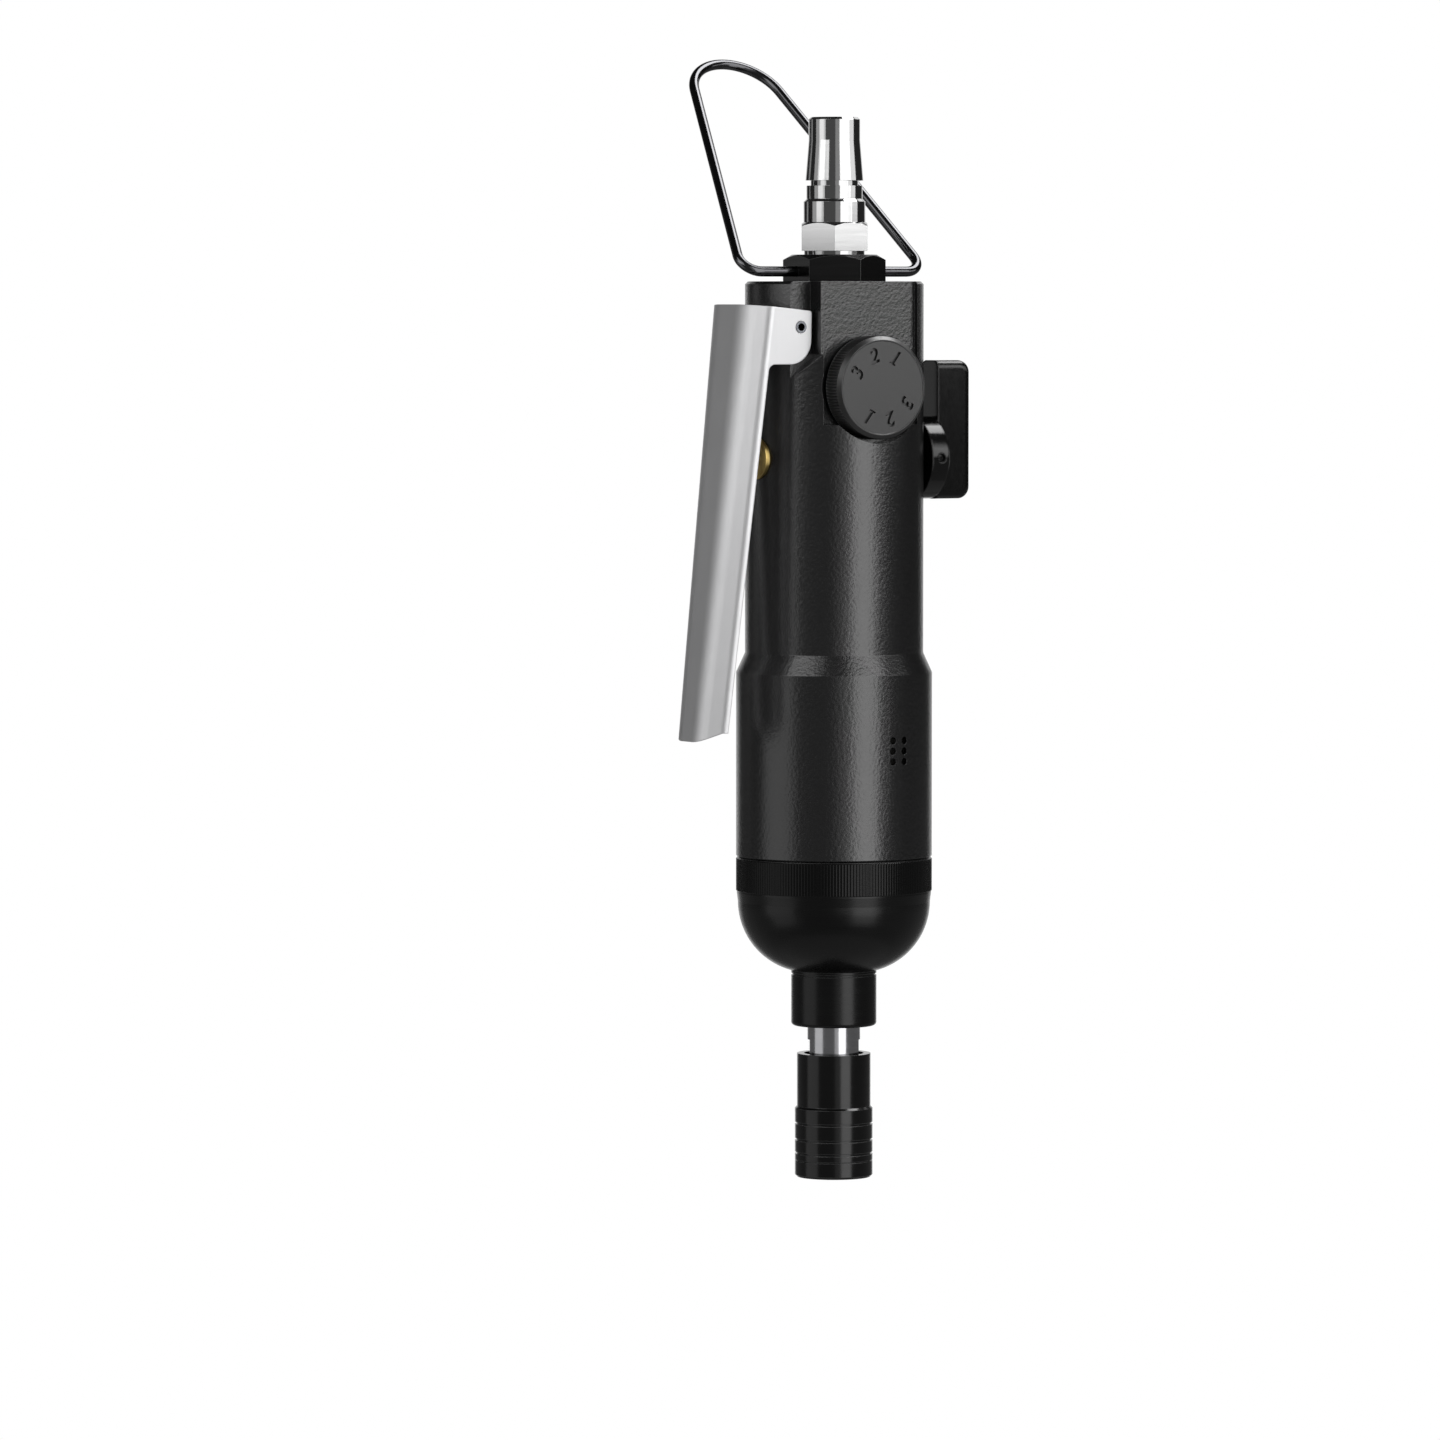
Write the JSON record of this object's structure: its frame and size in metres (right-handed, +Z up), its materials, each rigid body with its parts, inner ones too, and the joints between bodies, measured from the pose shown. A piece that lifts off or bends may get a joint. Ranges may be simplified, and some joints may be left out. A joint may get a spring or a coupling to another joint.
{
  "type": "pneumatic screwdriver",
  "caption": "Straight air-powered impact screwdriver with quick-change bit socket, side throttle lever, reverse lever, speed dial, air plug and wire hanger.",
  "frame": {"origin": "centre of the mouth of the bit socket", "axes": "+Z up the tool axis towards the air inlet, dial on -Y, throttle lever on -X, reverse lever on +X"},
  "size_m": [0.0688, 0.0697, 0.2405],
  "materials": {
    "black_paint": "fine textured black paint",
    "black_case": "smooth satin black",
    "black_oxide": "black oxide on turned steel",
    "black_lever": "satin black",
    "black_dial": "satin black anodised",
    "bright_steel": "turned bright steel",
    "spring_steel": "hardened steel",
    "tool_steel": "ground tool steel",
    "satin_steel": "satin plated sheet",
    "nickel_plate": "bright nickel plate",
    "nickel_wire": "black nickel on wire",
    "brass": "turned brass",
    "bronze": "sintered bronze",
    "rubber": "nitrile rubber",
    "vane_resin": "laminated resin",
    "gasket_sheet": "fibre gasket sheet",
    "felt": "felt"
  },
  "bodies": {
    "body": {"motor_housing": "black_paint", "hammer_case": "black_case", "anvil_bushing": "bronze", "thrust_washer": "spring_steel", "case_o_ring": "rubber", "front_end_plate": "tool_steel", "front_bearing": "bright_steel", "cylinder_liner": "tool_steel", "rear_end_plate": "tool_steel", "rear_bearing": "bright_steel", "locating_pin": "bright_steel", "motor_gasket": "gasket_sheet", "exhaust_silencer": "felt", "throttle_bushing": "brass", "throttle_seat": "rubber", "throttle_spring": "spring_steel", "lever_pin": "spring_steel", "regulator_clip": "spring_steel", "inlet_bushing": "black_oxide", "inlet_seal": "rubber", "inlet_screen": "brass", "air_plug": "nickel_plate"},
    "lever": {"throttle_lever": "satin_steel"},
    "throttle": {"throttle_stem": "bright_steel"},
    "dial": {"regulator_knob": "black_dial", "regulator_spool": "spring_steel", "regulator_o_ring": "rubber"},
    "reverser": {"reverse_lever": "black_lever", "reverse_spool": "spring_steel", "reverse_o_ring": "rubber", "reverse_pin": "spring_steel"},
    "hanger": {"hanger_bail": "nickel_wire"},
    "motor": {"rotor": "tool_steel", "rotor_vanes": "vane_resin", "hammer_cage": "tool_steel", "front_hammer": "tool_steel", "rear_hammer": "tool_steel", "hammer_pins": "bright_steel"},
    "spindle": {"anvil": "bright_steel", "bit_ball": "bright_steel", "sleeve_stop_ring": "spring_steel", "spring_washer": "spring_steel", "sleeve_spring": "spring_steel"},
    "sleeve": {"chuck_sleeve": "black_oxide"}
  },
  "joints": [
    {"name": "lever_press", "type": "hinge", "parent": "body", "child": "lever", "pos_m": [-0.015, 0, 0.1823], "axis": [0, -1, 0], "range_deg": [0, 6], "stiffness_Nm_per_rad": 0.5, "springref_deg": -11.46},
    {"name": "throttle_slide", "type": "slide", "parent": "body", "child": "throttle", "axis": [1, 0, 0], "range_m": [0, 0.003], "deforming": ["throttle_spring"]},
    {"name": "dial_turn", "type": "hinge", "parent": "body", "child": "dial", "pos_m": [0, 0, 0.1695], "axis": [0, 1, 0], "range_deg": [-26, 64]},
    {"name": "reverse_turn", "type": "hinge", "parent": "body", "child": "reverser", "pos_m": [0.02, 0, 0.1542], "axis": [1, 0, 0], "range_deg": [-45, 45]},
    {"name": "hanger_swing", "type": "hinge", "parent": "body", "child": "hanger", "pos_m": [0, 0, 0.1941], "axis": [1, 0, 0], "range_deg": [-68, 161]},
    {"name": "motor_spin", "type": "hinge", "parent": "body", "child": "motor", "pos_m": [0, 0, 0.1], "axis": [0, 0, 1], "continuous": true},
    {"name": "spindle_spin", "type": "hinge", "parent": "body", "child": "spindle", "pos_m": [0, 0, 0.02], "axis": [0, 0, 1], "continuous": true},
    {"name": "sleeve_slide", "type": "slide", "parent": "spindle", "child": "sleeve", "axis": [0, 0, 1], "range_m": [0, 0.004], "stiffness_N_per_m": 1500, "springref_m": -0.006, "deforming": ["sleeve_spring"]}
  ],
  "couplings": [
    {"joint": "throttle_slide", "follows": "lever_press", "m_per_rad": 0.02853},
    {"joint": "spindle_spin", "follows": "motor_spin", "ratio": 1}
  ]
}
